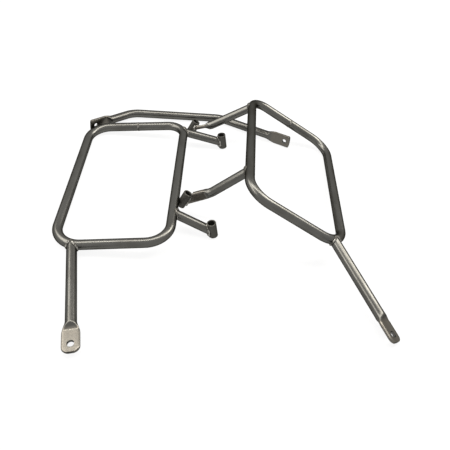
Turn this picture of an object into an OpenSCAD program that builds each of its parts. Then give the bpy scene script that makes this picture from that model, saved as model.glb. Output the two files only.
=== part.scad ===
// Motorbike pannier frame: two welded side frames and the bent rear brace that ties them together.
// Each side frame is a closed hoop of bent tube, two mounting arms that end in bolt sleeves, and a
// strut whose end is crushed flat and drilled. The three pieces lie as they come to rest on a floor.

/* [Tube] */
// Outside diameter of the hoop and strut tube
tube_d = 18; // [14:0.5:22]
// Outside diameter of the mounting arm tube
arm_d = 17.4; // [12:0.2:20]
// Outside diameter of the rear brace tube
brace_d = 17.4; // [12:0.2:20]
// Size of the weld fillets
weld = 3; // [2:0.5:4]

/* [Hoop] */
// Length of the outer side, corner to corner on the centre line
hoop_l = 349; // [300:1:400]
// Width across the two long sides on the centre lines
hoop_w = 198; // [160:1:240]
// Rearward offset of the inner side
hoop_set = 16; // [0:1:30]
// Centre line radius of three of the bends
bend_r = 45; // [35:1:60]
// Centre line radius of the rear inner bend
tight_r = 34; // [28:1:45]

/* [Crushed ends] */
// Width of a strut or brace end where it is pressed flat
flat_w = 27.6; // [24:0.2:30]
// Thickness of a strut or brace end where it is pressed flat
flat_t = 6; // [5:0.2:8]
// Width of an arm end where it is pressed flat
arm_flat_w = 19.5; // [19:0.5:24]
// Thickness of an arm end where it is pressed flat
arm_flat_t = 8.6; // [7:0.2:10]
// Corner radius of the tips
tip_r = 9; // [4:0.5:12]
// Length of tube over which a strut turns from round to flat
crush_l = 22; // [20:1:40]
// Diameter of the bolt holes in the struts
strut_hole_d = 11; // [8:0.5:12]
// Diameter of the bolt holes in the brace
brace_hole_d = 9; // [6:0.5:11]

/* [Sleeves] */
// Outside diameter of the bolt sleeves
sleeve_d = 17; // [16:0.5:20]
// Bore of the bolt sleeves
sleeve_bore = 12.6; // [10:0.2:13]
// Length of the bolt sleeves
sleeve_l = 31.5; // [28:0.5:40]

/* [Rear brace] */
// Length of the middle between its two bends
brace_mid = 198; // [150:1:240]
// Length of the left leg from bend to tip
brace_left = 109; // [90:1:140]
// Length of the right leg from bend to tip
brace_right = 173; // [150:1:200]
// Bend angle of the left leg
brace_left_angle = 38; // [20:1:45]
// Bend angle of the right leg
brace_right_angle = 31; // [20:1:45]
// Centre line radius of the brace bends
brace_r = 50; // [35:1:70]

/* [Resting pose] */
// Slope of the left side frame, which lies on its outer side and its sleeves
left_roll = 5.96; // [5:0.01:7]
// Slope of the right side frame across the hoop
right_roll = 24.67; // [24:0.01:26]
// Slope of the right side frame along the hoop
right_pitch = 6.21; // [5:0.01:7]
// Turn of the right side frame about the vertical
right_yaw = -4.9; // [-8:0.1:0]
// Turn of the rear brace about the vertical
brace_yaw = 5.8; // [3:0.1:9]
// Backward slope of the rear brace
brace_pitch = 4.6; // [4:0.01:5]
// Sideways slope of the rear brace
brace_roll = 0.31; // [0:0.01:1]

/* [Hidden] */
$fn = 64;
eps = 0.01;

// A bend is a hair thicker than the straights, which run a little way into it, because a tube swells
// where it is bent and the pieces must join cleanly
swell = 0.04;
lap = 0.5;

// Corner points of the hoop centre line, in order round the hoop, and the radius of each bend.
// In a side frame's own axes X runs from the outer side inwards, Y rearwards and Z out of the outer face.
corners = [[0, 0], [0, hoop_l], [hoop_w, hoop_l + hoop_set], [hoop_w, hoop_set]];
radii = [bend_r, bend_r, tight_r, bend_r];

// A strut: where its axis meets the front side, its angle in the hoop plane, its fall below that
// plane, where its tube starts inside the hoop, and the distances to its bolt hole and its tip.
left_strut_data = [35, 12, 2, -3, 192, 206];
right_strut_data = [14, -34.5, 3.2, -8, 176.5, 190.5];

// An arm: its root on the inner side, the point where it kinks and starts to flatten, the middle of
// its bolt sleeve, the turn of its flattened end about its own axis, and how far inwards of the
// sleeve's middle it is welded on.
left_front = [[hoop_w, 89.5, 0], undef, [270.5, 70, -20], 0, 6];
left_rear = [[hoop_w, 341.5, 0], undef, [280, 342, -21], 0, 4];
right_front = [[hoop_w, 81.8, 0], [230, 82.4, -80], [263.4, 84.2, -122.5], 90, 1.5];
right_rear = [[hoop_w, 327, 0], [247.4, 331, -86.1], [278, 337, -116], -20, 5];

// Direction of the bolt sleeves of each side frame, pointing inwards to the bike
left_lean = [0.11, 0, -1];
right_lean = [-0.02, -0.04, -1];

// Places on the floor: the right side frame and the rear brace, from the left frame's front corner
right_at = [501.9, 31.9, 39.74];
brace_at = [76.9, 420, 9.73];
// Middle of the three pieces as they lie, from the left frame's front corner
middle = [288, 122.4, 0];

function unit(v) = v / norm(v);
function wrap(i) = (i + len(corners)) % len(corners);

// Geometry of the bend at point p between neighbours a and b: tangent length, centre and sweep
function bend_half(a, p, b) = acos(unit(a - p) * unit(b - p)) / 2;
function bend_tangent(a, p, b, r) = r / tan(bend_half(a, p, b));
function bend_centre(a, p, b, r) = p + unit(unit(a - p) + unit(b - p)) * r / sin(bend_half(a, p, b));

// Stands its children at p, with Z pointing to q
module along(p, q) {
    v = q - p;
    translate(p) rotate([0, acos(v.z / norm(v)), atan2(v.y, v.x)]) children();
}

// Straight tube between two points of the XY plane, lengthened by lap at both ends
module straight(p, q, d) {
    v = q - p;
    translate([p.x, p.y, 0]) rotate([90, 0, atan2(v.y, v.x) + 90])
        translate([0, 0, -lap]) cylinder(d = d, h = norm(v) + 2 * lap);
}

// Bent tube round the corner at p
module elbow(a, p, b, r, d) {
    c = bend_centre(a, p, b, r);
    t = bend_tangent(a, p, b, r);
    from = p + unit(a - p) * t - c;
    to = p + unit(b - p) * t - c;
    start = atan2(from.y, from.x);
    sweep = atan2(from.x * to.y - from.y * to.x, from * to);
    translate([c.x, c.y, 0]) rotate([0, 0, min(start, start + sweep)])
        rotate_extrude(angle = abs(sweep)) translate([r, 0]) circle(d = d + swell);
}

// The closed hoop as one bent tube of diameter d
module hoop_tube(d) {
    for (i = [0 : len(corners) - 1]) {
        a = corners[wrap(i + 3)];
        p = corners[i];
        b = corners[wrap(i + 1)];
        c = corners[wrap(i + 2)];
        elbow(a, p, b, radii[i], d);
        straight(p + unit(b - p) * bend_tangent(a, p, b, radii[i]),
                 b + unit(p - b) * bend_tangent(p, b, c, radii[wrap(i + 1)]), d);
    }
}

// Seam bead where the ends of the hoop tube meet, in the middle of the rear side: a ring that stands
// proud of the tube
seam_r = 2.6;
seam_proud = 0.7;
module hoop_seam() {
    a = corners[1];
    b = corners[2];
    place = (a + b) / 2;
    translate([place.x, place.y, 0]) rotate([90, 0, atan2(b.y - a.y, b.x - a.x) + 90]) difference() {
        rotate_extrude() translate([tube_d / 2 + seam_proud - seam_r, 0]) circle(r = seam_r);
        cylinder(d = tube_d, h = 3 * seam_r, center = true);
    }
}

// Cross section of a crushed tube: half width a, half thickness b, squareness e (2 is an ellipse)
// and a waist, which is the share of the thickness that is lost in the middle
section_n = 32;
function power(v, e) = sign(v) * pow(abs(v), e);
function section(a, b, e, waist) = [for (i = [0 : section_n - 1])
    let (t = 360 * i / section_n, x = power(cos(t), 2 / e), y = power(sin(t), 2 / e))
    [b * x * (1 - waist * pow(1 - y * y, 2)), a * y]];
function ease(u) = u * u * (3 - 2 * u);

// Squareness of a flat end, its loss of thickness in the middle, and the further loss half way
// through the crush, where the two faces are pressed deepest
crush_square = 4.5;
crush_waist = 0.14;
crush_dip = 0.2;
// Shares of the crush's length between which the faces are pressed in. The sides flare over all of it.
press_from = 0.25;
press_to = 0.75;
// Round tube of diameter d that turns flat over the length turn and runs on to length l. Its start is
// a little fuller than d, and the round tube before it runs in by lap.
crush_fuller = 0.26;
crush_rings = 12;
module crushed(d, w, t, turn, l) {
    stations = concat([for (k = [0 : crush_rings]) turn * k / crush_rings], [l]);
    rings = [for (z = stations)
        let (share = min(z / turn, 1),
             flare = ease(share),
             press = ease(min(max((share - press_from) / (press_to - press_from), 0), 1)),
             start_r = (d + crush_fuller) / 2,
             waist = crush_waist * press + crush_dip * pow(4 * press * (1 - press), 2),
             ring = section(start_r + (w / 2 - start_r) * flare, start_r + (t / 2 - start_r) * press,
                            2 + (crush_square - 2) * press, waist))
        [for (q = ring) [q.x, q.y, z]]];
    n = section_n;
    last = len(rings) - 1;
    polyhedron(
        points = [for (ring = rings) each ring],
        faces = concat(
            [[for (i = [0 : n - 1]) i]],
            [for (k = [0 : last - 1], i = [0 : n - 1])
                let (j = (i + 1) % n) each [[k * n + i, (k + 1) * n + i, (k + 1) * n + j],
                                            [k * n + i, (k + 1) * n + j, k * n + j]]],
            [[for (i = [n - 1 : -1 : 0]) last * n + i]]));
}

// Outline that a flat end is trimmed to, w wide and l long, with two corners of radius r and a
// slightly crowned tip
tip_crown_r = 80;
module tip_outline(w, l, r) {
    intersection() {
        union() {
            translate([-w / 2, 0]) square([w, l - r]);
            translate([r - w / 2, 0]) square([w - 2 * r, l]);
            for (side = [-1, 1]) translate([side * (w / 2 - r), l - r]) circle(r = r);
        }
        translate([0, l - tip_crown_r]) circle(r = tip_crown_r, $fn = 4 * $fn);
    }
}

// Flat drilled end on a round tube: it starts at Z = 0 as a tube of diameter d and ends at Z = l,
// with its bolt hole at Z = hole and a tip with corner radius r
module drilled_end(d, l, hole, hole_d, r) {
    difference() {
        intersection() {
            crushed(d, flat_w, flat_t, crush_l, l + eps);
            rotate([90, 0, 90]) translate([0, 0, -d])
                linear_extrude(2 * d) tip_outline(flat_w + 1, l, r);
        }
        translate([-d, 0, hole]) rotate([0, 90, 0]) cylinder(d = hole_d, h = 2 * d);
    }
}

// Point where a strut's axis meets the front side of the hoop, and its direction
function strut_root(s) = [s[0], 0, 0];
function strut_dir(s) = [sin(s[1]) * cos(s[2]), -cos(s[1]) * cos(s[2]), -sin(s[2])];

// Strut with its crushed and drilled end, coped to the hoop
strut_end = 54;
module strut(s) {
    root = strut_root(s);
    dir = strut_dir(s);
    neck = s[5] - strut_end;
    difference() {
        along(root, root + dir) {
            translate([0, 0, s[3]]) cylinder(d = tube_d, h = neck - s[3] + lap);
            translate([0, 0, neck]) drilled_end(tube_d, strut_end, s[4] - neck, strut_hole_d, tip_r);
        }
        hoop_tube(tube_d);
    }
}

// Weld fillet between a strut and the hoop: where both tubes, grown by the weld's size, overlap
weld_reach = 30;
module strut_weld(s) {
    root = strut_root(s);
    dir = strut_dir(s);
    difference() {
        intersection() {
            along(root, root + dir) translate([0, 0, s[3]]) cylinder(d = tube_d + 2 * weld, h = weld_reach);
            hoop_tube(tube_d + 2 * weld);
        }
        along(root, root + dir) translate([0, 0, s[3]]) cylinder(d = tube_d, h = weld_reach + lap);
        hoop_tube(tube_d);
    }
}

// Plain cylinder that fills a bolt sleeve, grown by g all round and by over at both ends
module sleeve_blank(at, lean, g = 0, over = 0) {
    half = unit(lean) * (sleeve_l / 2 + over);
    along(at - half, at + half) cylinder(d = sleeve_d + 2 * g, h = sleeve_l + 2 * over);
}

// Bolt sleeve, an open tube
module sleeve(at, lean) {
    half = unit(lean) * sleeve_l / 2;
    along(at - half, at + half) difference() {
        cylinder(d = sleeve_d, h = sleeve_l);
        translate([0, 0, -lap]) cylinder(d = sleeve_bore, h = sleeve_l + 2 * lap);
    }
}

// Where an arm's tube starts inside the hoop, how far short of its sleeve's axis it is cut off, and
// the length over which a kinked arm is crushed
arm_start = 1;
arm_stop = 4;
arm_crush_l = 20;
// Length that an arm is drawn past its sleeve before it is cut off
arm_spare = 12;

// Point that an arm's last stretch starts from, and the point on the sleeve's axis that it runs to
function knee(a) = is_undef(a[1]) ? a[0] : a[1];
function arm_end(a, lean) = a[2] + unit(lean) * a[4];

// Block that holds everything past the cut at an arm's end. The cut is parallel to the sleeve that
// the arm is welded to.
cut_block = 100;
module past_cut(a, lean) {
    axis = unit(lean);
    end = arm_end(a, lean);
    run = unit(end - knee(a));
    across = unit(run - axis * (run * axis));
    along(end - across * arm_stop, end) translate([-cut_block / 2, -cut_block / 2, 0]) cube(cut_block);
}

// Arm, coped to the hoop and cut off at its sleeve: a straight round tube, or one that kinks and
// is crushed flat from there on
module arm(a, lean) {
    end = arm_end(a, lean);
    reach = norm(end - knee(a));
    difference() {
        union() {
            if (is_undef(a[1])) {
                along(a[0], end) translate([0, 0, arm_start]) cylinder(d = arm_d, h = reach);
            } else {
                along(a[0], a[1]) translate([0, 0, arm_start])
                    cylinder(d = arm_d, h = norm(a[1] - a[0]) - arm_start);
                translate(a[1]) sphere(d = arm_d + swell);
                along(a[1], end) rotate([0, 0, a[3]])
                    crushed(arm_d, arm_flat_w, arm_flat_t, arm_crush_l, reach + arm_spare);
            }
        }
        past_cut(a, lean);
        sleeve_blank(a[2], lean, over = lap);
        hoop_tube(tube_d);
    }
}

// Weld fillet between an arm and the hoop
module arm_weld(a, lean) {
    to = is_undef(a[1]) ? arm_end(a, lean) : a[1];
    difference() {
        intersection() {
            along(a[0], to) translate([0, 0, arm_start]) cylinder(d = arm_d + 2 * weld, h = weld_reach);
            hoop_tube(tube_d + 2 * weld);
        }
        along(a[0], to) translate([0, 0, arm_start]) cylinder(d = arm_d, h = weld_reach + lap);
        hoop_tube(tube_d);
    }
}

// Weld fillet between an arm and its sleeve: a collar round the end of the arm
module sleeve_weld(a, lean) {
    end = arm_end(a, lean);
    reach = norm(end - knee(a));
    difference() {
        intersection() {
            sleeve_blank(a[2], lean, weld);
            along(knee(a), end) rotate([0, 0, a[3]]) translate([0, 0, reach - weld_reach])
                linear_extrude(weld_reach + arm_spare) arm_section(a, weld);
        }
        past_cut(a, lean);
        sleeve_blank(a[2], lean, over = lap);
        along(knee(a), end) rotate([0, 0, a[3]]) translate([0, 0, reach - weld_reach - lap])
            linear_extrude(weld_reach + arm_spare + 2 * lap) arm_section(a, 0);
    }
}

// Cross section of an arm's end, round or flattened, grown by g all round
module arm_section(a, g) {
    if (is_undef(a[1]))
        circle(d = arm_d + 2 * g);
    else
        polygon(section(arm_flat_w / 2 + g, arm_flat_t / 2 + g, crush_square, crush_waist));
}

// Rear brace in its own axes: the middle lies along X, and the legs reach forwards. Length of its
// crushed ends, distance from tip to bolt hole and corner radius of the tips.
brace_end = 56;
brace_hole_in = 12;
brace_tip_r = 2;
module brace() {
    ends = [[-cos(brace_left_angle), -sin(brace_left_angle)] * brace_left,
            [brace_mid + cos(brace_right_angle) * brace_right, -sin(brace_right_angle) * brace_right]];
    knees = [[0, 0], [brace_mid, 0]];
    t = [for (i = [0, 1]) bend_tangent(ends[i], knees[i], knees[1 - i], brace_r)];
    straight(knees[0] + [t[0], 0], knees[1] - [t[1], 0], brace_d);
    for (i = [0, 1]) {
        dir = unit(ends[i] - knees[i]);
        neck = ends[i] - dir * brace_end;
        elbow(ends[i], knees[i], knees[1 - i], brace_r, brace_d);
        straight(knees[i] + dir * t[i], neck, brace_d);
        along([neck.x, neck.y, 0], [ends[i].x, ends[i].y, 0]) rotate([0, 0, 90])
            drilled_end(brace_d, brace_end, brace_end - brace_hole_in, brace_hole_d, brace_tip_r);
    }
}

// Resting places of the three pieces
module place_left() {
    translate([0, 0, (tube_d + swell) / 2] - middle) rotate([0, -left_roll, 0]) children();
}
module place_right() {
    translate(right_at - middle) rotate([0, 0, right_yaw]) mirror([1, 0, 0])
        rotate([-right_pitch, -right_roll, 0]) children();
}
module place_brace() {
    translate(brace_at - middle) rotate([0, 0, brace_yaw]) rotate([-brace_pitch, brace_roll, 0]) children();
}

tube_color = [0.36, 0.34, 0.31];
flat_color = [0.62, 0.59, 0.55];
sleeve_color = [0.30, 0.29, 0.27];
weld_color = [0.55, 0.54, 0.52];

module left_hoop() { color(tube_color) place_left() hoop_tube(tube_d); }
module left_hoop_seam() { color(weld_color) place_left() hoop_seam(); }
module left_strut() { color(flat_color) place_left() strut(left_strut_data); }
module left_strut_weld() { color(weld_color) place_left() strut_weld(left_strut_data); }
module left_front_arm() { color(tube_color) place_left() arm(left_front, left_lean); }
module left_front_arm_weld() { color(weld_color) place_left() arm_weld(left_front, left_lean); }
module left_front_sleeve() { color(sleeve_color) place_left() sleeve(left_front[2], left_lean); }
module left_front_sleeve_weld() { color(weld_color) place_left() sleeve_weld(left_front, left_lean); }
module left_rear_arm() { color(tube_color) place_left() arm(left_rear, left_lean); }
module left_rear_arm_weld() { color(weld_color) place_left() arm_weld(left_rear, left_lean); }
module left_rear_sleeve() { color(sleeve_color) place_left() sleeve(left_rear[2], left_lean); }
module left_rear_sleeve_weld() { color(weld_color) place_left() sleeve_weld(left_rear, left_lean); }
module right_hoop() { color(tube_color) place_right() hoop_tube(tube_d); }
module right_hoop_seam() { color(weld_color) place_right() hoop_seam(); }
module right_strut() { color(flat_color) place_right() strut(right_strut_data); }
module right_strut_weld() { color(weld_color) place_right() strut_weld(right_strut_data); }
module right_front_arm() { color(tube_color) place_right() arm(right_front, right_lean); }
module right_front_arm_weld() { color(weld_color) place_right() arm_weld(right_front, right_lean); }
module right_front_sleeve() { color(sleeve_color) place_right() sleeve(right_front[2], right_lean); }
module right_front_sleeve_weld() { color(weld_color) place_right() sleeve_weld(right_front, right_lean); }
module right_rear_arm() { color(tube_color) place_right() arm(right_rear, right_lean); }
module right_rear_arm_weld() { color(weld_color) place_right() arm_weld(right_rear, right_lean); }
module right_rear_sleeve() { color(sleeve_color) place_right() sleeve(right_rear[2], right_lean); }
module right_rear_sleeve_weld() { color(weld_color) place_right() sleeve_weld(right_rear, right_lean); }
module rear_brace() { color(flat_color) place_brace() brace(); }

left_hoop();
left_hoop_seam();
left_strut();
left_strut_weld();
left_front_arm();
left_front_arm_weld();
left_front_sleeve();
left_front_sleeve_weld();
left_rear_arm();
left_rear_arm_weld();
left_rear_sleeve();
left_rear_sleeve_weld();
right_hoop();
right_hoop_seam();
right_strut();
right_strut_weld();
right_front_arm();
right_front_arm_weld();
right_front_sleeve();
right_front_sleeve_weld();
right_rear_arm();
right_rear_arm_weld();
right_rear_sleeve();
right_rear_sleeve_weld();
rear_brace();
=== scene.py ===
"""Bare steel finish, crushed tube ends and weld beads for a motorcycle pannier frame.

Each piece is made in the axes of the side frame or brace that it belongs to, in millimetres,
and then laid where its solid lies.
"""
import math

import bmesh
import bpy
from bpy.props import FloatProperty, FloatVectorProperty, PointerProperty
from mathutils import Matrix, Vector, noise


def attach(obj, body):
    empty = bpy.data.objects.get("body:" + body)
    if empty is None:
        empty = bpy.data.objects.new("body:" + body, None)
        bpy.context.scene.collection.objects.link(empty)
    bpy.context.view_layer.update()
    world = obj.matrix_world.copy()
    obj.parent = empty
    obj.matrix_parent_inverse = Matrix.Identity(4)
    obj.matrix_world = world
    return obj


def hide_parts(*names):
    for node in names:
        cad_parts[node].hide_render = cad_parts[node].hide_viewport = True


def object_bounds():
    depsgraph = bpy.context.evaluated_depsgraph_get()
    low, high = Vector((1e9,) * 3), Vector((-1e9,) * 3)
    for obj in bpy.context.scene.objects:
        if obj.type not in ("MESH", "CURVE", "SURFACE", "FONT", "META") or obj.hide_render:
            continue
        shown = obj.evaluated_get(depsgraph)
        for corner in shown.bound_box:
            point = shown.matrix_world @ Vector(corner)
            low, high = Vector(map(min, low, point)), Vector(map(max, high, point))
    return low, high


bl_info = {
    "name": "Pannier Frame Finish",
    "version": (1, 0, 0),
    "blender": (4, 5, 0),
    "location": "3D View > Sidebar > Pannier Frame",
    "description": "Makes the tubes, crushed ends and welds of a steel pannier frame",
    "category": "Object",
}

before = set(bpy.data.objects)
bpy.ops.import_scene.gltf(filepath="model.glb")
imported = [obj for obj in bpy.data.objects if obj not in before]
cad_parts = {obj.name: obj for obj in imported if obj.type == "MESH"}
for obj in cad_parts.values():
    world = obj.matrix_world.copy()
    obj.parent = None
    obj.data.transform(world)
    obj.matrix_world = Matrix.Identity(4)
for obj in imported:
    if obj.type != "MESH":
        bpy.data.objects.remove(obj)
CAD_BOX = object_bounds()

MM = 0.001

# Hoop centre line in a side frame's own axes: X inwards, Y rearwards, Z out of the outer face
HOOP_L = 349.0
HOOP_W = 198.0
HOOP_SET = 16.0
CORNERS = [
    Vector((0, 0, 0)),
    Vector((0, HOOP_L, 0)),
    Vector((HOOP_W, HOOP_L + HOOP_SET, 0)),
    Vector((HOOP_W, HOOP_SET, 0)),
]
BEND_RADII = [45.0, 45.0, 34.0, 45.0]

# Struts: root on the front side, angle in the hoop plane, fall below it, start, hole, tip and the share of
# the lighter pressed colour that the flat shows, lowered on the right strut as painted shade where its flat
# faces away from the lamps
STRUTS = {
    "left": {
        "root": 35.0,
        "angle": 12.0,
        "fall": 2.0,
        "start": -3.0,
        "hole": 192.0,
        "tip": 206.0,
        "shaded_flat_share": 1.0,
    },
    "right": {
        "root": 14.0,
        "angle": -34.5,
        "fall": 3.2,
        "start": -8.0,
        "hole": 176.5,
        "tip": 190.5,
        "shaded_flat_share": 0.9,
    },
}
STRUT_FLAT = 54.0
CRUSH_LENGTH = 22.0

# Arms: root on the inner side, kink, middle of the sleeve, turn of the flattened end, and how far
# inwards of the sleeve's middle the arm is welded on
ARMS = {
    "left_front": {
        "root": (HOOP_W, 89.5, 0),
        "knee": None,
        "sleeve": (270.5, 70, -20),
        "turn": 0.0,
        "drop": 6.0,
    },
    "left_rear": {
        "root": (HOOP_W, 341.5, 0),
        "knee": None,
        "sleeve": (280, 342, -21),
        "turn": 0.0,
        "drop": 4.0,
    },
    "right_front": {
        "root": (HOOP_W, 81.8, 0),
        "knee": (230, 82.4, -80),
        "sleeve": (263.4, 84.2, -122.5),
        "turn": 90.0,
        "drop": 1.5,
    },
    "right_rear": {
        "root": (HOOP_W, 327, 0),
        "knee": (247.4, 331, -86.1),
        "sleeve": (278, 337, -116),
        "turn": -20.0,
        "drop": 5.0,
    },
}
SLEEVE_LEAN = {"left": Vector((0.11, 0, -1)), "right": Vector((-0.02, -0.04, -1))}
KNEE_BEND = 30.0

# Along an arm: length of the crush, start beside the hoop's line, stop short of the sleeve's axis,
# length of the part that is fitted to the sleeve, and how deep that part sits in the sleeve's wall
ARM_CRUSH = 20.0
ARM_START = 2.0
ARM_STOP = 4.0
ARM_LAST = 22.0
ARM_SEAT = 1.0

# Rear brace in its own axes: the middle along X, the legs reaching forwards
BRACE_MID = 198.0
BRACE_LEGS = [{"length": 109.0, "angle": 38.0}, {"length": 173.0, "angle": 31.0}]
BRACE_BEND = 50.0
BRACE_FLAT = 56.0
BRACE_HOLE_IN = 12.0
BRACE_TIP_R = 2.0
# Share of the lighter pressed colour shown on the brace's flats; below 1 it renders them darker
BRACE_FLAT_SHARE = 0.85

# Where the pieces lie, from the left side frame's front corner to the middle of the layout
MIDDLE = Vector((288.0, 122.4, 0.0))


def turned(axis, degrees):
    return Matrix.Rotation(math.radians(degrees), 4, axis)


PLACES = {
    "left": Matrix.Translation(Vector((0, 0, 9.02)) - MIDDLE) @ turned("Y", -5.96),
    "right": Matrix.Translation(Vector((501.9, 31.9, 39.74)) - MIDDLE)
    @ turned("Z", -4.9)
    @ Matrix.Scale(-1, 4, Vector((1, 0, 0)))
    @ turned("Y", -24.67)
    @ turned("X", -6.21),
    "brace": Matrix.Translation(Vector((76.9, 420.0, 9.73)) - MIDDLE)
    @ turned("Z", 5.8)
    @ turned("Y", 0.31)
    @ turned("X", -4.6),
}

# Crushed ends: how square the flat's section is, how far its middle is dished at the end and on the
# way there, and between which shares of the crush the faces are pressed in
SQUARENESS = 4.5
END_WAIST = 0.14
CRUSH_DIP = 0.2
PRESS_FROM = 0.25
PRESS_TO = 0.75

# Trimmed tips: crown of the end, angles of the rings round its corners, width, thickness and depth
# of the rings in its face, which leave the pressed slit, and how far the hole's cutter reaches
TIP_CROWN = 1.2
TIP_ANGLES = (15, 30, 42, 53, 63, 72, 79, 84, 87)
TIP_RINGS = ((0.98, 0.9, 0.12), (0.86, 0.16, 0.2), (0.84, 0.1, 1.6))
HOLE_REACH = 20.0

# Heat tint at the welds: how far from the joint each patch's middle lies, and the patch's size
HEAT = {
    "strut": (10.0, 1.6),
    "hoop_at_strut": (6.0, 1.6),
    "hoop_at_arm": (6.0, 1.5),
    "hoop_seam": (0.0, 1.3),
    "arm_root": (9.0, 1.5),
    "arm_end": (-7.0, 0.8),
    "sleeve": (9.0, 1.3),
}
HEAT_REACH = 9.0

# Weld beads: lift off the joint, how round a ripple is, and how far and how finely the spacing of
# the ripples, the bead's size and its line stray, each from its own place in the noise
BEAD_LIFT = 0.3
RIPPLE_ROUND = 0.7
RIPPLE_STRAY = 0.3
RIPPLE_FINENESS = 0.35
SIZE_STRAY = 0.12
SIZE_FINENESS = 0.16
SIZE_SHIFT = Vector((5, 0, 0))
LINE_STRAY = 0.35
LINE_FINENESS = 0.2
LINE_SHIFT = Vector((0, 9, 0))

# Beads at the sleeves: distance kept from a sleeve's edges, and how far the bead faces away from
# the sleeve's axis and from the arm's line
SLEEVE_MARGIN = 1.0
SLEEVE_FACING = 0.6
ARM_FACING = 0.5

# Hoop seam: how deep the bead lies in the tube, and how low it is
SEAM_SUNK = 0.9
SEAM_LOW = 0.55

# Fineness of the meshes: distances between rings in millimetres, numbers of rings, parts and
# points, and the angle in degrees from which an edge is sharp
STEP = 5.0
CRUSH_STEP = 1.5
KNEE_STEP = 2.0
FLAT_STEP = 3.0
END_RINGS = 6
BEND_PARTS = 6
RIPPLE_PARTS = 5
AROUND = 48
BEAD_SIDES = 12
HOLE_SIDES = 64
SEAM_POINTS = 96
SHARP = 38

# Surface grain: radius at which it is wrapped round a tube, its run from ring to ring at an arm's
# end, its stretch along a sleeve, and the depth of the relief in metres
GRAIN_R = 9.0
END_RUN = 3.0
SLEEVE_GRAIN = 2.0
RELIEF_DEPTH = 0.0006

# Searches for where one tube meets another: ranges in millimetres and numbers of rounds, and a
# length that no part of the hoop's line reaches
SLEEVE_SEARCH = 60.0
SLEEVE_ROUNDS = 30
HOOP_SEARCH = (-40.0, 12.0)
NEAR_ROUNDS = 40
MEET_ROUNDS = 20
LONGEST_PART = 12.0

# Camera, in millimetres from the middle of the layout on the floor
CAMERA_PLACE = Vector((-56.9, -746.5, 712.1))
SENSOR_WIDTH = 36.0

# Floor and lamps, in metres; every lamp points at the middle of the layout
FLOOR_GLOW = 0.9
FLOOR_HALF = 6.0
FLOOR_GAP = 0.0005
LAMPS = {
    "top": {"place": (0, 0.35, 1.9), "size": (2.6, 0.55)},
    "left": {"place": (-1.5, 0, 1.3), "size": (2.2, 0.8)},
    "right": {"place": (1.25, 0.75, 1.4), "size": (0.8, 0.8)},
}
LAMP_COLOR = (1.0, 0.97, 0.91)


def length_setting(name, description, default):
    return FloatProperty(name=name, description=description, default=default, unit="LENGTH")


def color_setting(name, description, default):
    return FloatVectorProperty(name=name, description=description, default=default, subtype="COLOR", size=3)


def share_setting(name, description, default):
    return FloatProperty(name=name, description=description, default=default, subtype="FACTOR")


def angle_setting(name, description, degrees):
    return FloatProperty(name=name, description=description, default=math.radians(degrees), subtype="ANGLE")


def power_setting(name, description, default):
    return FloatProperty(name=name, description=description, default=default, unit="POWER")


class PannierTubeSettings(bpy.types.PropertyGroup):
    """Sizes of the tube and its crushed ends."""

    tube_r: length_setting("Tube Radius", "Radius of the hoops and struts", 0.009)
    arm_r: length_setting("Arm Radius", "Radius of the arms and the brace", 0.0087)
    flat_w: length_setting("Flat Width", "Width of a strut or brace end", 0.0276)
    flat_t: length_setting("Flat Thickness", "Thickness of a strut or brace end", 0.006)
    arm_flat_w: length_setting("Arm Flat Width", "Width of a crushed arm end", 0.0195)
    arm_flat_t: length_setting("Arm Flat Thickness", "Thickness of a crushed arm end", 0.0086)
    tip_r: length_setting("Tip Radius", "Corner radius of the strut tips", 0.009)
    strut_hole_r: length_setting("Strut Hole Radius", "Radius of the bolt hole in a strut", 0.0055)
    brace_hole_r: length_setting("Brace Hole Radius", "Radius of the bolt holes in the brace", 0.0045)


class PannierSleeveSettings(bpy.types.PropertyGroup):
    """Sizes of the bolt sleeves."""

    outer_r: length_setting("Outer Radius", "Outside radius of the sleeves", 0.0085)
    bore_r: length_setting("Bore Radius", "Radius of the bore", 0.0063)
    length: length_setting("Length", "Length of the sleeves", 0.0315)


class PannierWeldSettings(bpy.types.PropertyGroup):
    """Size of the weld beads."""

    bead_r: length_setting("Bead Radius", "Radius of the round top of a bead", 0.0025)
    pitch: length_setting("Pitch", "Distance between ripples", 0.0021)
    ripple: share_setting("Ripple", "Depth of a ripple as a share of the bead", 0.2)


class PannierFinishSettings(bpy.types.PropertyGroup):
    """Colours of the steel."""

    steel: color_setting("Steel", "Colour of the bare tube", (0.106, 0.104, 0.096))
    film: color_setting("Film", "Colour of the darker film on the tube", (0.07, 0.067, 0.06))
    pressed: color_setting("Pressed Face", "Colour of the crushed faces", (0.13, 0.12, 0.104))
    straw: color_setting("Heat Tint", "Colour of the steel next to a weld", (0.066, 0.06, 0.05))
    weld: color_setting("Weld", "Colour of the beads", (0.3, 0.29, 0.265))
    sleeve: color_setting("Sleeve", "Colour of the bolt sleeves", (0.08, 0.078, 0.07))
    # Rim: a low specular tint that darkens the reflection seen edge on, a painted dark reflection along the
    # outlines
    rim: color_setting("Rim", "Share of the colour left where the steel is seen edge on", (0.25, 0.25, 0.25))


class PannierStageSettings(bpy.types.PropertyGroup):
    """Camera, lamps and floor."""

    yaw: angle_setting("Yaw", "Camera's turn to the right", 5.058)
    pitch: angle_setting("Pitch", "How far the camera looks down", 44.355)
    roll: angle_setting("Roll", "Camera's roll", 9.315)
    lens: FloatProperty(
        name="Lens",
        description="Focal length on a 36 mm sensor, in millimetres",
        default=43.49,
        subtype="DISTANCE_CAMERA",
    )
    top_power: power_setting("Top Power", "Power of the long lamp overhead", 40.0)
    left_power: power_setting("Left Power", "Power of the lamp on the left", 29.0)
    right_power: power_setting("Right Power", "Power of the lamp on the right", 24.0)
    world_level: share_setting("World Level", "Light that the surroundings cast", 0.3)
    floor: color_setting("Floor", "Colour of the floor", (1.0, 1.0, 1.0))


# Curves and sections, in millimetres


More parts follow.
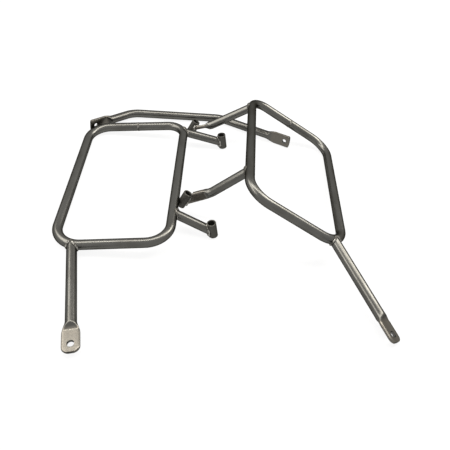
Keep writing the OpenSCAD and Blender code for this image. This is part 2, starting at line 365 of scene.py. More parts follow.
def ease(u):
    """Smooth start and end between 0 and 1."""
    return u * u * (3 - 2 * u)


def mix(a, b, u):
    return a + (b - a) * u


def power(v, e):
    """Power of a number that keeps its sign."""
    return math.copysign(abs(v) ** e, v)


def section(half_thick, half_width, squareness=2.0, waist=0.0):
    """Outline of a tube that is being crushed: a round or square-shouldered loop with a dished middle."""
    loop = []
    for i in range(AROUND):
        t = 2 * math.pi * i / AROUND
        x = power(math.cos(t), 2 / squareness)
        y = power(math.sin(t), 2 / squareness)
        loop.append((half_thick * x * (1 - waist * (1 - y * y) ** 2), half_width * y))
    return loop


def pressed(u):
    """How far the faces are pressed in: they follow later and more steeply than the sides flare."""
    return ease(min(1.0, max(0.0, (u - PRESS_FROM) / (PRESS_TO - PRESS_FROM))))


def crushed_section(radius, width, thick, u):
    """The section where the crush has gone from round, u = 0, to flat, u = 1."""
    e = pressed(u)
    waist = END_WAIST * e + CRUSH_DIP * (4 * e * (1 - e)) ** 2
    return section(mix(radius, thick / 2, e), mix(radius, width / 2, ease(u)), mix(2.0, SQUARENESS, e), waist)


def filleted(points, radii, closed=False, step=STEP):
    """Points along a line with rounded corners, a few millimetres apart."""
    count = len(points)
    path = []
    starts = {}
    for i in range(count):
        if not closed and i in (0, count - 1):
            starts[i] = (points[i], points[i], None)
            continue
        before = (points[i - 1] - points[i]).normalized()
        after = (points[(i + 1) % count] - points[i]).normalized()
        half = before.angle(after) / 2
        reach = radii[i] / math.tan(half)
        centre = points[i] + (before + after).normalized() * radii[i] / math.sin(half)
        starts[i] = (points[i] + before * reach, points[i] + after * reach, centre)
    for i in range(count):
        enter, leave, centre = starts[i]
        if centre is None:
            path.append(enter)
        else:
            a, b = enter - centre, leave - centre
            turns = max(BEND_PARTS, round(a.angle(b) * radii[i] / step))
            normal = a.cross(b).normalized()
            for k in range(turns + 1):
                path.append(centre + Matrix.Rotation(a.angle(b) * k / turns, 3, normal) @ a)
        if closed or i < count - 1:
            following = starts[(i + 1) % count][0]
            span = (following - leave).length
            parts = max(1, round(span / step))
            path += [leave.lerp(following, k / parts) for k in range(1, parts)]
    return path


HOOP_LINE = filleted(CORNERS, BEND_RADII, closed=True)


def hoop_distance(p):
    """Distance from p to the hoop's centre line."""
    best = math.inf
    for i, a in enumerate(HOOP_LINE):
        b = HOOP_LINE[(i + 1) % len(HOOP_LINE)]
        if (a - p).length > best + LONGEST_PART:
            continue
        ab = b - a
        t = min(1.0, max(0.0, (p - a).dot(ab) / ab.length_squared))
        best = min(best, (a + ab * t - p).length)
    return best


def along_axes(p, q, turn=0.0):
    """Thickness and width directions of a section on the line from p to q, turned about that line."""
    d = (q - p).normalized()
    lean = Matrix.Rotation(math.atan2(d.y, d.x), 3, "Z") @ Matrix.Rotation(math.acos(d.z), 3, "Y")
    axes = lean @ Matrix.Rotation(math.radians(turn), 3, "Z")
    return axes.col[0].copy(), axes.col[1].copy()


def heat_spot(joint, origin, run):
    """Middle and size of the heated patch at a weld, on the line from origin along run."""
    offset, size = HEAT[joint]
    return origin + run * offset, size


def heat_at(p, spots):
    """How strongly the steel at p was heated."""
    return sum(math.exp(-(((p - at).length / (HEAT_REACH * size)) ** 2)) for at, size in spots)


def line_distance(p, a, d):
    """Distance from p to the line through a along the unit vector d."""
    v = p - a
    return (v - d * v.dot(d)).length


# Meshes


class Loft:
    """Rings of points joined into a closed skin, with the run along the tube kept for the grain."""

    def __init__(self, shaded_flat_share=1.0):
        self.shaded_flat_share = shaded_flat_share
        self.rings = []
        self.runs = []
        self.press = []

    def ring(self, centre, thick, width, loop, run, press=0.0):
        self.rings.append([centre + thick * x + width * y for x, y in loop])
        self.runs.append(run)
        self.press.append(press)

    def points(self, ring, run, press):
        self.rings.append(ring)
        self.runs.append(run)
        self.press.append(press)

    def build(self, name, place, closed=False, heat_spots=()):
        bm = bmesh.new()
        grain = bm.verts.layers.float_vector.new("grain")
        heat = bm.verts.layers.float.new("heat")
        press = bm.verts.layers.float.new("press")
        rows = []
        for points, run, flatness in zip(self.rings, self.runs, self.press):
            row = []
            for k, p in enumerate(points):
                v = bm.verts.new(p)
                t = 2 * math.pi * k / len(points)
                v[grain] = Vector((run, math.cos(t) * GRAIN_R, math.sin(t) * GRAIN_R))
                v[heat] = heat_at(p, heat_spots)
                # The piece's share scales the pressed colour: below 1 it darkens the flats, painted shade on
                # the right strut's flat
                v[press] = flatness * self.shaded_flat_share
                row.append(v)
            rows.append(row)
        pairs = list(zip(rows, rows[1:])) + ([(rows[-1], rows[0])] if closed else [])
        for a, b in pairs:
            for k in range(len(a)):
                n = (k + 1) % len(a)
                bm.faces.new((a[k], a[n], b[n], b[k]))
        if not closed:
            for row in (rows[0], rows[-1]):
                middle = bm.verts.new(sum((v.co for v in row), Vector()) / len(row))
                middle[grain] = row[0][grain]
                middle[press] = row[0][press]
                for k in range(len(row)):
                    bm.faces.new((row[k], row[(k + 1) % len(row)], middle))
        bmesh.ops.recalc_face_normals(bm, faces=bm.faces)
        return finish_mesh(name, bm, place)


def finish_mesh(name, bm, place):
    """Lays a mesh made in millimetres where it belongs, in metres."""
    bm.transform(Matrix.Scale(MM, 4) @ place)
    if place.determinant() < 0:
        bmesh.ops.reverse_faces(bm, faces=bm.faces)
    mesh = bpy.data.meshes.new(name)
    bm.to_mesh(mesh)
    bm.free()
    piece = bpy.data.objects.new(name, mesh)
    bpy.context.scene.collection.objects.link(piece)
    for face in mesh.polygons:
        face.use_smooth = True
    mesh.set_sharp_from_angle(angle=math.radians(SHARP))
    return piece


def drilled(piece, place, centre, axis, radius):
    """Cuts a bolt hole through a crushed end."""
    side = axis.orthogonal().normalized()
    other = axis.cross(side)
    bm = bmesh.new()
    rows = []
    for s in (-HOLE_REACH, HOLE_REACH):
        turns = [2 * math.pi * k / HOLE_SIDES for k in range(HOLE_SIDES)]
        rim = [side * math.cos(t) * radius + other * math.sin(t) * radius for t in turns]
        rows.append([bm.verts.new(centre + axis * s + p) for p in rim])
    for k in range(HOLE_SIDES):
        n = (k + 1) % HOLE_SIDES
        bm.faces.new((rows[0][k], rows[0][n], rows[1][n], rows[1][k]))
    for row in rows:
        bm.faces.new(row)
    bmesh.ops.recalc_face_normals(bm, faces=bm.faces)
    cutter = finish_mesh("hole_cutter", bm, place)
    cut = piece.modifiers.new("hole", "BOOLEAN")
    cut.operation = "DIFFERENCE"
    cut.solver = "EXACT"
    cut.object = cutter
    bpy.context.view_layer.update()
    graph = bpy.context.evaluated_depsgraph_get()
    mesh = bpy.data.meshes.new_from_object(piece.evaluated_get(graph))
    piece.modifiers.clear()
    piece.data = mesh
    cutter_mesh = cutter.data
    bpy.data.objects.remove(cutter)
    bpy.data.meshes.remove(cutter_mesh)
    mesh.set_sharp_from_angle(angle=math.radians(SHARP))


def steps(start, end, step=STEP):
    """Evenly spaced stations from start to end, both included."""
    count = max(1, round((end - start) / step))
    return [mix(start, end, k / count) for k in range(count + 1)]


# Pieces in a side frame's own axes


def strut_line(side):
    s = STRUTS[side]
    angle, fall = math.radians(s["angle"]), math.radians(s["fall"])
    root = Vector((s["root"], 0, 0))
    run = Vector((math.sin(angle) * math.cos(fall), -math.cos(angle) * math.cos(fall), -math.sin(fall)))
    return root, run


def tip_half_width(s, tip, half_width, corner):
    """Half width of a flat whose tip is trimmed with rounded corners and a slightly crowned end."""
    into = s - (tip - corner)
    if into <= 0:
        return half_width
    return half_width - corner + math.sqrt(max(0.0, corner * corner - into * into))


def crushed_end(loft, origin, run, thick, width, radius, flat_w, flat_t, begin, crush, tip, corner):
    """Rings from the end of the round tube to the trimmed tip, with the pressed slit in its face."""
    for s in steps(begin, begin + crush, CRUSH_STEP):
        u = (s - begin) / crush
        loft.ring(origin + run * s, thick, width, crushed_section(radius, flat_w, flat_t, u), s, pressed(u))
    stations = steps(begin + crush, tip - corner, FLAT_STEP)[1:]
    stations += [tip - corner + corner * math.sin(math.radians(a)) for a in TIP_ANGLES]
    for s in stations:
        half = tip_half_width(s, tip, flat_w / 2, corner)
        loop = section(flat_t / 2, half, SQUARENESS, END_WAIST)
        crown = TIP_CROWN * max(0.0, (s - tip + corner) / corner)
        ring = []
        for x, y in loop:
            back = crown * (y / flat_w * 2) ** 2
            ring.append(origin + run * (s - back) + thick * x + width * y)
        loft.points(ring, s, 1.0)
    last = loft.rings[-1]
    middle = sum(last, Vector()) / len(last)
    for wide, thin, deep in TIP_RINGS:
        ring = []
        for p in last:
            v = p - middle
            ring.append(middle + v * wide - thick * v.dot(thick) * (wide - thin) - run * deep)
        loft.points(ring, tip, 0.0)


def make_strut(side, tube):
    """A tube from the hoop's front side to a crushed, trimmed and drilled tip."""
    s = STRUTS[side]
    root, run = strut_line(side)
    thick, width = along_axes(root, root + run)
    begin = s["tip"] - STRUT_FLAT
    # The strut's share of the pressed colour, lowered on the right strut to paint shade on its flat
    loft = Loft(s["shaded_flat_share"])
    radius = tube.tube_r / MM
    for d in steps(s["start"], begin)[:-1]:
        loft.ring(root + run * d, thick, width, section(radius, radius), d)
    crushed_end(
        loft, root, run, thick, width, radius, tube.flat_w / MM, tube.flat_t / MM,
        begin, CRUSH_LENGTH, s["tip"], tube.tip_r / MM,
    )
    piece = loft.build(f"{side}_strut_tube", PLACES[side], heat_spots=[heat_spot("strut", root, run)])
    drilled(piece, PLACES[side], root + run * s["hole"], thick, tube.strut_hole_r / MM)
    return piece


def weld_spots(side):
    """Where the hoop of one side frame is heated by its welds."""
    root, run = strut_line(side)
    seam = (CORNERS[1] + CORNERS[2]) / 2
    spots = [heat_spot("hoop_at_strut", root, run), heat_spot("hoop_seam", seam, run)]
    for key in (f"{side}_front", f"{side}_rear"):
        start, knee, end, thick, width = arm_frame(key)
        spots.append(heat_spot("hoop_at_arm", start, ((knee or end) - start).normalized()))
    return spots


def make_hoop(side, tube):
    """One bent tube closed on itself."""
    loft = Loft()
    radius = tube.tube_r / MM
    up = Vector((0, 0, 1))
    run = 0.0
    count = len(HOOP_LINE)
    for i, p in enumerate(HOOP_LINE):
        tangent = (HOOP_LINE[(i + 1) % count] - HOOP_LINE[i - 1]).normalized()
        loft.ring(p, up, tangent.cross(up), section(radius, radius), run)
        run += (HOOP_LINE[(i + 1) % count] - p).length
    return loft.build(f"{side}_hoop_tube", PLACES[side], closed=True, heat_spots=weld_spots(side))


def side_of(key):
    """The side frame that an arm belongs to."""
    return key.split("_")[0]


def sleeve_axis(key):
    """Direction of a sleeve's bore, out of the inner face."""
    return SLEEVE_LEAN[side_of(key)].normalized()


def arm_frame(key):
    """The arm's line, ending on its sleeve's axis, and the thickness and width directions of its end."""
    arm = ARMS[key]
    root = Vector(arm["root"])
    end = Vector(arm["sleeve"]) + sleeve_axis(key) * arm["drop"]
    knee = Vector(arm["knee"]) if arm["knee"] else None
    thick, width = along_axes(knee or root, end, arm["turn"])
    return root, knee, end, thick, width


def arm_end_section(key, tube):
    """Outline of the arm where it meets its sleeve."""
    if ARMS[key]["knee"]:
        return section(tube.arm_flat_t / MM / 2, tube.arm_flat_w / MM / 2, SQUARENESS, END_WAIST)
    return section(tube.arm_r / MM, tube.arm_r / MM)


def reach_to_sleeve(key, offset, radius):
    """How far from the arm's end point a line of its skin meets the sleeve, or the cut beside it."""
    root, knee, end, thick, width = arm_frame(key)
    run = (end - (knee or root)).normalized()
    axis = sleeve_axis(key)
    across = (run - axis * run.dot(axis)).normalized()
    cut = (-ARM_STOP - offset.dot(across)) / run.dot(across)
    if line_distance(end + offset + run * cut, end, axis) > radius:
        return cut
    lo, hi = cut - SLEEVE_SEARCH, cut
    for _ in range(SLEEVE_ROUNDS):
        mid = (lo + hi) / 2
        if line_distance(end + offset + run * mid, end, axis) > radius:
            lo = mid
        else:
            hi = mid
    return lo


def make_arm(key, tube, sleeve_sizes):
    """A tube from the hoop's inner side to its sleeve, kinked and crushed flat on the right side frame."""
    root, knee, end, thick, width = arm_frame(key)
    radius = tube.arm_r / MM
    flat = tube.arm_flat_w / MM, tube.arm_flat_t / MM
    loft = Loft()
    start = ((knee or end) - root).normalized()
    run = 0.0
    if knee:
        line = filleted([root + start * ARM_START, knee, end], [0, KNEE_BEND, 0], step=KNEE_STEP)
        crush_from = (knee - root).length - ARM_START
        for i, p in enumerate(line[:-1]):
            if (end - p).length < ARM_LAST:
                break
            before = line[max(0, i - 1)]
            tangent = (line[i + 1] - before).normalized()
            w = (width - tangent * width.dot(tangent)).normalized()
            u = min(1.0, max(0.0, (run - crush_from) / ARM_CRUSH))
            loft.ring(p, w.cross(tangent), w, crushed_section(radius, *flat, u), run, pressed(u))
            run += (line[i + 1] - p).length
    else:
        for run in steps(ARM_START, (end - root).length - ARM_LAST):
            loft.ring(root + start * run, thick, width, section(radius, radius), run)
    direction = (end - (knee or root)).normalized()
    loop = arm_end_section(key, tube)
    seat = sleeve_sizes.outer_r / MM - ARM_SEAT
    ends = [reach_to_sleeve(key, thick * x + width * y, seat) for x, y in loop]
    for k in range(1, END_RINGS + 1):
        ring = []
        for (x, y), last in zip(loop, ends):
            ring.append(end + thick * x + width * y + direction * mix(-ARM_LAST, last, k / END_RINGS))
        loft.points(ring, run + END_RUN * k, 1.0 if knee else 0.0)
    spots = [heat_spot("arm_root", root, start), heat_spot("arm_end", end, direction)]
    return loft.build(f"{key}_tube", PLACES[side_of(key)], heat_spots=spots)


def make_sleeve(key, sizes):
    """An open tube with broken edges, revolved about its own axis."""
    root, knee, end, thick, width = arm_frame(key)
    centre = Vector(ARMS[key]["sleeve"])
    axis = sleeve_axis(key)
    x_dir = axis.orthogonal().normalized()
    y_dir = axis.cross(x_dir)
    outer, bore, half = sizes.outer_r / MM, sizes.bore_r / MM, sizes.length / MM / 2
    edge = 0.5
    soft = 0.15
    mouth = [
        (outer - soft, half - soft),
        (outer - edge, half),
        (bore + edge, half),
        (bore + soft, half - soft),
    ]
    stations = steps(edge - half, half - edge, FLAT_STEP)
    wall = [(outer, z) for z in stations] + mouth
    wall += [(bore, z) for z in stations[::-1]] + [(r, -z) for r, z in mouth[::-1]]
    turns = [2 * math.pi * k / AROUND for k in range(AROUND)]
    loft = Loft()
    for r, z in wall:
        loop = [(r * math.cos(t), r * math.sin(t)) for t in turns]
        loft.ring(centre + axis * z, x_dir, y_dir, loop, z * SLEEVE_GRAIN)
    spot = heat_spot("sleeve", end, ((knee or root) - end).normalized())
    return loft.build(f"{key}_sleeve_tube", PLACES[side_of(key)], closed=True, heat_spots=[spot])


def bead(name, line, outward, place, weld, low=1.0):
    """A rippled weld bead along a closed line; outward gives the way each point faces."""
    pitch = weld.pitch / MM
    lengths = [0.0]
    for i, p in enumerate(line):
        lengths.append(lengths[-1] + (line[(i + 1) % len(line)] - p).length)
    total = lengths[-1]
    count = int(total / (pitch / RIPPLE_PARTS))
    loft = Loft()
    j = 0
    for k in range(count):
        at = total * k / count
        while lengths[j + 1] < at:
            j += 1
        u = (at - lengths[j]) / max(1e-6, lengths[j + 1] - lengths[j])
        n = (j + 1) % len(line)
        p = line[j].lerp(line[n], u)
        tangent = (line[n] - line[j]).normalized()
        out = outward[j].lerp(outward[n], u)
        out = (out - tangent * out.dot(tangent)).normalized()
        side = tangent.cross(out)
        phase = at / pitch + RIPPLE_STRAY * noise.noise(p * RIPPLE_FINENESS)
        wave = abs(math.sin(math.pi * phase)) ** RIPPLE_ROUND
        size = weld.bead_r / MM * (1 + SIZE_STRAY * noise.noise(p * SIZE_FINENESS + SIZE_SHIFT))
        wobble = side * LINE_STRAY * noise.noise(p * LINE_FINENESS + LINE_SHIFT)
        top = size * (1 - weld.ripple + weld.ripple * wave)
        loop = []
        for c in range(BEAD_SIDES):
            a = 2 * math.pi * c / BEAD_SIDES
            loop.append((top * low * math.cos(a), size * math.sin(a)))
        loft.ring(p + wobble, out, side, loop, at)
    return loft.build(name, place, closed=True)


def first_within(distance, radius, lo, hi):
    """Where a line first comes within radius of a tube's axis, or its nearest point if it passes by."""
    for _ in range(NEAR_ROUNDS):
        a, b = mix(lo, hi, 1 / 3), mix(lo, hi, 2 / 3)
        if distance(a) < radius or distance(a) < distance(b):
            hi = b
        else:
            lo = a
        if distance(hi) < radius:
            break
    if distance(hi) >= radius:
        return hi
    for _ in range(MEET_ROUNDS):
        middle = (lo + hi) / 2
        if distance(middle) > radius:
            lo = middle
        else:
            hi = middle
    return lo


def saddle_bead(name, origin, run, axes, loop, radius, place, weld):
    """Bead round the end of a tube that runs into the hoop."""
    thick, width = axes
    line, outward = [], []
    for x, y in loop:
        skin = thick * x + width * y
        meet = first_within(lambda s: hoop_distance(origin + skin + run * s), radius, *HOOP_SEARCH)
        away = (skin.normalized() - run).normalized()
        line.append(origin + skin + run * meet + away * BEAD_LIFT)
        outward.append(away)
    return bead(name, line, outward, place, weld)


def make_strut_weld(side, tube, weld):
    """The bead where a strut meets the hoop."""
    root, run = strut_line(side)
    thick, width = along_axes(root, root + run)
    radius = tube.tube_r / MM
    loop = section(radius, radius)
    return saddle_bead(f"{side}_strut_bead", root, -run, (thick, width), loop, radius, PLACES[side], weld)


def make_arm_weld(key, tube, weld):
    """The bead where an arm meets the hoop."""
    root, knee, end, thick, width = arm_frame(key)
    run = (root - (knee or end)).normalized()
    axes = along_axes(root, root - run)
    loop = section(tube.arm_r / MM, tube.arm_r / MM)
    return saddle_bead(f"{key}_bead", root, run, axes, loop, tube.tube_r / MM, PLACES[side_of(key)], weld)


def make_sleeve_weld(key, tube, sizes, weld):
    """The bead where an arm meets its sleeve, kept on the sleeve's wall."""
    root, knee, end, thick, width = arm_frame(key)
    centre = Vector(ARMS[key]["sleeve"])
    axis = sleeve_axis(key)
    run = (end - (knee or root)).normalized()
    half = sizes.length / MM / 2 - SLEEVE_MARGIN
    line, outward = [], []
    for x, y in arm_end_section(key, tube):
        offset = thick * x + width * y
        p = end + offset + run * reach_to_sleeve(key, offset, sizes.outer_r / MM)
        height = (p - centre).dot(axis)
        p += axis * (min(half, max(-half, height)) - height)
        from_axis = (p - centre) - axis * (p - centre).dot(axis)
        facing = from_axis.normalized() * SLEEVE_FACING - run * ARM_FACING
        away = (offset.normalized() + facing).normalized()
        line.append(p + away * BEAD_LIFT)
        outward.append(away)
    return bead(f"{key}_sleeve_bead", line, outward, PLACES[side_of(key)], weld)


def make_seam(side, tube, weld):
    """The ring where the two ends of the hoop tube are butted and welded."""
    a, b = CORNERS[1], CORNERS[2]
    middle = (a + b) / 2
    along = (b - a).normalized()
    up = Vector((0, 0, 1))
    across = along.cross(up)
    radius = tube.tube_r / MM - SEAM_SUNK
    line, outward = [], []
    for k in range(SEAM_POINTS):
        t = 2 * math.pi * k / SEAM_POINTS
        out = up * math.cos(t) + across * math.sin(t)
        line.append(middle + out * radius)
        outward.append(out)
    return bead(f"{side}_seam_bead", line, outward, PLACES[side], weld, low=SEAM_LOW)


def make_brace(tube):
    """The bent rear brace, swept from tip to tip with both ends crushed."""
    radius = tube.arm_r / MM
    up = Vector((0, 0, 1))
    corners = [Vector((0, 0, 0)), Vector((BRACE_MID, 0, 0))]
    tips = []
    for corner, leg, way in zip(corners, BRACE_LEGS, (-1, 1)):
        a = math.radians(leg["angle"])
        tips.append(corner + Vector((way * math.cos(a), -math.sin(a), 0)) * leg["length"])
    runs = [(tip - corner).normalized() for tip, corner in zip(tips, corners)]
    flat_t, flat_w = tube.flat_t / MM, tube.flat_w / MM
    loft = Loft(BRACE_FLAT_SHARE)
    halves = []
    for corner, tip, run, leg in zip(corners, tips, runs, BRACE_LEGS):
        part = Loft()
        thick = up.cross(run)
        crushed_end(
            part, corner, run, thick, up, radius, flat_w, flat_t,
            leg["length"] - BRACE_FLAT, CRUSH_LENGTH, leg["length"], BRACE_TIP_R,
        )
        halves.append(part)
    first, second = halves
    loft.rings = [ring[::-1] for ring in first.rings[::-1]]
    loft.runs = [-r for r in first.runs[::-1]]
    loft.press = first.press[::-1]
    necks = []
    for corner, way, leg in zip(corners, runs, BRACE_LEGS):
        necks.append(corner + way * (leg["length"] - BRACE_FLAT))
    middle = filleted([necks[0], *corners, necks[1]], [0, BRACE_BEND, BRACE_BEND, 0])
    run = loft.runs[-1]
    for i in range(1, len(middle) - 1):
        tangent = (middle[i + 1] - middle[i - 1]).normalized()
        run += (middle[i] - middle[i - 1]).length
        loft.ring(middle[i], up.cross(tangent), up, section(radius, radius), run)
    loft.rings += second.rings
    loft.runs += [run + STEP + r - second.runs[0] for r in second.runs]
    loft.press += second.press
    loft.rings = align(loft.rings)
    piece = loft.build("rear_brace_tube", PLACES["brace"])
    for tip, way in zip(tips, runs):
        drilled(piece, PLACES["brace"], tip - way * BRACE_HOLE_IN, up.cross(way), tube.brace_hole_r / MM)
    return piece


def align(rings, stride=6):
    """Turns and reverses each ring's numbering so that its points follow on from the ring before."""
    out = [rings[0]]
    for ring in rings[1:]:
        last = out[-1]
        best = None
        for candidate in (ring, ring[::-1]):
            shift = min(range(len(candidate)), key=lambda k: (candidate[k] - last[0]).length)
            moved = candidate[shift:] + candidate[:shift]
            cost = sum((p - q).length for p, q in zip(moved[::stride], last[::stride]))
            if best is None or cost < best[0]:
                best = (cost, moved)
        out.append(best[1])
    return out


# Materials


class Wire:
    """A shader socket whose arithmetic makes Math nodes."""

    def __init__(self, shader, socket):
        self.shader = shader
        self.socket = socket

    def math(self, operation, a, b):
        return self.shader.node("ShaderNodeMath", {"operation": operation}, {0: a, 1: b})

    def __add__(self, other):
        return self.math("ADD", self, other)

    def __radd__(self, other):
        return self.math("ADD", other, self)

    def __sub__(self, other):
        return self.math("SUBTRACT", self, other)

    def __rsub__(self, other):
        return self.math("SUBTRACT", other, self)

    def __mul__(self, other):
        return self.math("MULTIPLY", self, other)

    def __rmul__(self, other):
        return self.math("MULTIPLY", other, self)

    def between(self, low, high):
        """0 below low, 1 above high, and smooth in between."""
        limits = {"Value": self, "From Min": low, "From Max": high}
        return self.shader.node("ShaderNodeMapRange", {"interpolation_type": "SMOOTHSTEP"}, limits)


class Shader:
    """The node tree of a material or of the world."""

    def __init__(self, owner):
        owner.use_nodes = True
        self.owner = owner
        self.tree = owner.node_tree

    def node(self, kind, settings=None, sockets=None, output=0):
        """Adds a node: its settings first, then the values or links of its sockets."""
        made = self.tree.nodes.new(kind)
        for key, value in (settings or {}).items():
            setattr(made, key, value)
        for key, value in (sockets or {}).items():
            self.feed(made.inputs[key], value)
        return Wire(self, made.outputs[output])

    def feed(self, socket, value):
        if isinstance(value, Wire):
            self.tree.links.new(value.socket, socket)
        elif socket.type == "RGBA":
            socket.default_value = (*value, 1.0)
        else:
            socket.default_value = value

    def attribute(self, name, output="Fac"):
        return self.node("ShaderNodeAttribute", {"attribute_name": name}, output=output)

    def stretched(self, vector, scale):
        return self.node("ShaderNodeVectorMath", {"operation": "MULTIPLY"}, {0: vector, 1: scale})

    def cloud(self, vector, scale, detail, roughness):
        sockets = {"Vector": vector, "Scale": scale, "Detail": detail, "Roughness": roughness}
        return self.node("ShaderNodeTexNoise", None, sockets)

    def blend(self, share, a, b):
        """Mixes two colours."""
        return self.node("ShaderNodeMix", {"data_type": "RGBA"}, {0: share, 6: a, 7: b}, output=2)

    def seen_white(self):
        """1 for what the camera, a reflection or a clear material sees, 0 for the light on the object."""
        rays = ("Camera", "Glossy", "Transmission")
        camera, glossy, clear = (self.node("ShaderNodeLightPath", output=f"Is {ray} Ray") for ray in rays)
        return camera + glossy + clear


def metal(color, roughness, height, bump, edge):
    """A bare metal with a bumped surface and a dark rim, where a low specular tint paints a dark reflection
    along the outlines.
    """
    s = color.shader
    surface = s.tree.nodes["Principled BSDF"]
    relief = {"Height": height, "Strength": bump, "Distance": RELIEF_DEPTH}
    s.feed(surface.inputs["Base Color"], color)
    s.feed(surface.inputs["Roughness"], roughness)
    s.feed(surface.inputs["Metallic"], 1.0)
    # The low specular tint darkens the reflection at grazing angles: painted dark reflection at the edges
    s.feed(surface.inputs["Specular Tint"], edge)
    s.feed(surface.inputs["Normal"], s.node("ShaderNodeBump", None, relief))
    return s.owner


def tube_steel(name, colors):
    """Bare drawn tube: draw lines along it, a patchy film, heat tint at the welds, scaly pressed flats."""
    s = Shader(bpy.data.materials.new(name))
    grain = s.attribute("grain", "Vector")
    heat = s.attribute("heat")
    press = s.attribute("press")
    lines = s.cloud(s.stretched(grain, (0.02, 1.1, 1.1)), scale=1.0, detail=5.0, roughness=0.6)
    patches = s.cloud(s.stretched(grain, (0.02, 0.06, 0.06)), scale=1.0, detail=4.0, roughness=0.55)
    specks = s.cloud(grain, scale=0.55, detail=3.0, roughness=0.7)
    scale = s.cloud(grain, scale=0.16, detail=6.0, roughness=0.7)
    film = patches.between(0.42, 0.66)
    color = s.blend(film * 0.55, colors.steel, colors.film)
    color = s.blend(lines.between(0.5, 0.8) * 0.3, color, colors.film)
    flat = s.blend(scale.between(0.4, 0.75) * 0.35, colors.pressed, colors.steel)
    color = s.blend(press.between(0.3, 0.95), color, flat)
    warm = (heat + scale * 0.5 - 0.25).between(0.15, 0.8)
    color = s.blend(warm * 0.7, color, colors.straw)
    roughness = 0.25 + 0.03 * film + 0.03 * specks + 0.02 * press + 0.1 * warm
    return metal(color, roughness, height=lines * 0.3 + scale * press, bump=0.03, edge=colors.rim)


def sleeve_steel(name, colors):
    """Cut tube: darker scale, turned faintly round its own axis."""
    s = Shader(bpy.data.materials.new(name))
    grain = s.attribute("grain", "Vector")
    heat = s.attribute("heat")
    rings = s.cloud(s.stretched(grain, (1.4, 0.05, 0.05)), scale=1.0, detail=3.0, roughness=0.5)
    scale = s.cloud(grain, scale=0.2, detail=6.0, roughness=0.65)
    color = s.blend(scale.between(0.4, 0.7) * 0.6, colors.sleeve, colors.film)
    color = s.blend(heat.between(0.2, 0.9) * 0.5, color, colors.straw)
    roughness = 0.42 + 0.14 * scale + 0.08 * rings
    return metal(color, roughness, height=rings + scale, bump=0.15, edge=colors.rim)


def weld_metal(name, colors):
    """Weld bead: mostly under a dark bloom, with bright metal showing in short lengths."""
    s = Shader(bpy.data.materials.new(name))
    grain = s.attribute("grain", "Vector")
    bloom = s.cloud(s.stretched(grain, (0.16, 0.06, 0.06)), scale=1.0, detail=3.0, roughness=0.6)
    pits = s.cloud(grain, scale=0.9, detail=4.0, roughness=0.7)
    bright = bloom.between(0.46, 0.6)
    color = s.blend(bright, colors.film, colors.weld)
    roughness = 0.55 - 0.25 * bright + 0.1 * pits
    return metal(color, roughness, height=pits, bump=0.3, edge=colors.rim)


def floor_white(name, color):
    """Pale floor that shows white, with the object's shadow kept faintly."""
    s = Shader(bpy.data.materials.new(name))
    surface = s.tree.nodes["Principled BSDF"]
    s.feed(surface.inputs["Base Color"], color)
    s.feed(surface.inputs["Roughness"], 0.9)
    glow = s.node("ShaderNodeEmission", None, {"Color": color, "Strength": 1.0})
    share = s.seen_white() * FLOOR_GLOW
    mixed = s.node("ShaderNodeMixShader", None, {0: share, 1: Wire(s, surface.outputs[0]), 2: glow})
    s.feed(s.tree.nodes["Material Output"].inputs["Surface"], mixed)
    return s.owner


def surroundings(name, level):
    """Even surroundings that show white and light the object at the given level."""
    s = Shader(bpy.data.worlds.new(name))
    background = s.tree.nodes["Background"]
    s.feed(background.inputs["Color"], (1.0, 1.0, 1.0))
    s.feed(background.inputs["Strength"], level + s.seen_white() * (1.0 - level))
    return s.owner


def dress(piece, finish, slot, *nodes):
    """Gives a piece its material and body and hides the solids that it stands for; the slot is not used."""
    piece.data.materials.clear()
    piece.data.materials.append(finish)
    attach(piece, "root")
    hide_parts(*nodes)


def material(name, make):
    """The material of this name, made on its first use."""
    return bpy.data.materials.get(name) or make(name, bpy.context.scene.pannier_finish)


# Operators


class PANNIER_OT_side_tubes(bpy.types.Operator):
    """Make the hoops, struts and arms of both side frames"""

    bl_idname = "pannier.side_tubes"
    bl_label = "Side Frame Tubes"

    def execute(self, context):
        tube = context.scene.pannier_tube
        steel = material("bare_tube_steel", tube_steel)
        for side in ("left", "right"):
            dress(make_hoop(side, tube), steel, "tube", f"{side}_hoop")
            dress(make_strut(side, tube), steel, "tube", f"{side}_strut")
        for key in ARMS:
            dress(make_arm(key, tube, context.scene.pannier_sleeve), steel, "tube", f"{key}_arm")
        return {"FINISHED"}


class PANNIER_OT_sleeves(bpy.types.Operator):
    """Make the bolt sleeves at the ends of the arms"""

    bl_idname = "pannier.sleeves"
    bl_label = "Bolt Sleeves"

    def execute(self, context):
        steel = material("bolt_sleeve_steel", sleeve_steel)
        for key in ARMS:
            dress(make_sleeve(key, context.scene.pannier_sleeve), steel, "sleeve", f"{key}_sleeve")
        return {"FINISHED"}


class PANNIER_OT_welds(bpy.types.Operator):
    """Lay the weld beads at every joint and the seams of the hoops"""

    bl_idname = "pannier.welds"
    bl_label = "Weld Beads"

    def execute(self, context):
        scene = context.scene
        tube, sleeve, weld = scene.pannier_tube, scene.pannier_sleeve, scene.pannier_weld
        steel = material("weld_bead_metal", weld_metal)
        for side in ("left", "right"):
            dress(make_seam(side, tube, weld), steel, "weld", f"{side}_hoop_seam")
            dress(make_strut_weld(side, tube, weld), steel, "weld", f"{side}_strut_weld")
        for key in ARMS:
            dress(make_arm_weld(key, tube, weld), steel, "weld", f"{key}_arm_weld")
            dress(make_sleeve_weld(key, tube, sleeve, weld), steel, "weld", f"{key}_sleeve_weld")
        return {"FINISHED"}


class PANNIER_OT_brace(bpy.types.Operator):
    """Make the bent rear brace with its crushed ends"""

    bl_idname = "pannier.brace"
    bl_label = "Rear Brace"

    def execute(self, context):
        steel = material("bare_tube_steel", tube_steel)
        dress(make_brace(context.scene.pannier_tube), steel, "tube", "rear_brace")
        return {"FINISHED"}


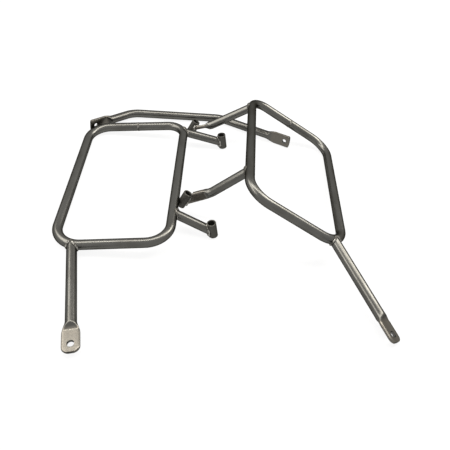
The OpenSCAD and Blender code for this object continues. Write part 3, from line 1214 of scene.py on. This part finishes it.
def softbox(name, place, size, energy):
    """A wide lamp that points at the middle of the layout."""
    data = bpy.data.lights.new(name, "AREA")
    data.shape = "RECTANGLE"
    data.size, data.size_y = size
    data.energy = energy
    data.color = LAMP_COLOR
    lamp = bpy.data.objects.new(name, data)
    lamp.location = place
    lamp.rotation_euler = (-Vector(place)).to_track_quat("-Z", "Y").to_euler()
    bpy.context.scene.collection.objects.link(lamp)


class PANNIER_OT_stage(bpy.types.Operator):
    """Set the floor, the lamps, the surroundings and the camera"""

    bl_idname = "pannier.stage"
    bl_label = "Stage"

    def execute(self, context):
        scene = context.scene
        stage = scene.pannier_stage
        scene.view_settings.view_transform = "Standard"
        mesh = bpy.data.meshes.new("floor")
        low = CAD_BOX[0][2] - FLOOR_GAP
        corners = [(x * FLOOR_HALF, y * FLOOR_HALF, low) for x, y in ((-1, -1), (1, -1), (1, 1), (-1, 1))]
        mesh.from_pydata(corners, [], [(0, 1, 2, 3)])
        floor = bpy.data.objects.new("floor", mesh)
        scene.collection.objects.link(floor)
        floor.data.materials.append(floor_white("stage_white", stage.floor))
        scene.world = surroundings("surroundings", stage.world_level)
        for side, lamp in LAMPS.items():
            softbox(f"{side}_softbox", lamp["place"], lamp["size"], getattr(stage, f"{side}_power"))
        data = bpy.data.cameras.new("camera")
        data.sensor_width = SENSOR_WIDTH
        data.lens = stage.lens
        camera = bpy.data.objects.new("camera", data)
        place = Matrix.Translation(CAMERA_PLACE * MM)
        turn = turned("Z", -math.degrees(stage.yaw)) @ turned("X", 90 - math.degrees(stage.pitch))
        camera.matrix_world = place @ turn @ turned("Z", math.degrees(stage.roll))
        scene.collection.objects.link(camera)
        scene.camera = camera
        return {"FINISHED"}


class PANNIER_PT_panel(bpy.types.Panel):
    """Lists the steps that make the pannier frame"""

    bl_label = "Pannier Frame"
    bl_idname = "PANNIER_PT_panel"
    bl_space_type = "VIEW_3D"
    bl_region_type = "UI"
    bl_category = "Pannier Frame"

    def draw(self, context):
        for operator in OPERATORS:
            self.layout.operator(operator.bl_idname)
        for name, _ in SETTINGS:
            group = getattr(context.scene, name)
            box = self.layout.box()
            for key in group.bl_rna.properties.keys():
                if key not in ("rna_type", "name"):
                    box.prop(group, key)


OPERATORS = (
    PANNIER_OT_side_tubes,
    PANNIER_OT_sleeves,
    PANNIER_OT_welds,
    PANNIER_OT_brace,
    PANNIER_OT_stage,
)
SETTINGS = (
    ("pannier_tube", PannierTubeSettings),
    ("pannier_sleeve", PannierSleeveSettings),
    ("pannier_weld", PannierWeldSettings),
    ("pannier_finish", PannierFinishSettings),
    ("pannier_stage", PannierStageSettings),
)


def register():
    for name, group in SETTINGS:
        bpy.utils.register_class(group)
        setattr(bpy.types.Scene, name, PointerProperty(type=group))
    for made in (*OPERATORS, PANNIER_PT_panel):
        bpy.utils.register_class(made)


def unregister():
    for made in reversed((*OPERATORS, PANNIER_PT_panel)):
        bpy.utils.unregister_class(made)
    for name, group in reversed(SETTINGS):
        delattr(bpy.types.Scene, name)
        bpy.utils.unregister_class(group)


def main():
    register()
    bpy.ops.pannier.stage()
    bpy.ops.pannier.side_tubes()
    bpy.ops.pannier.sleeves()
    bpy.ops.pannier.welds()
    bpy.ops.pannier.brace()


if __name__ == "__main__":
    main()
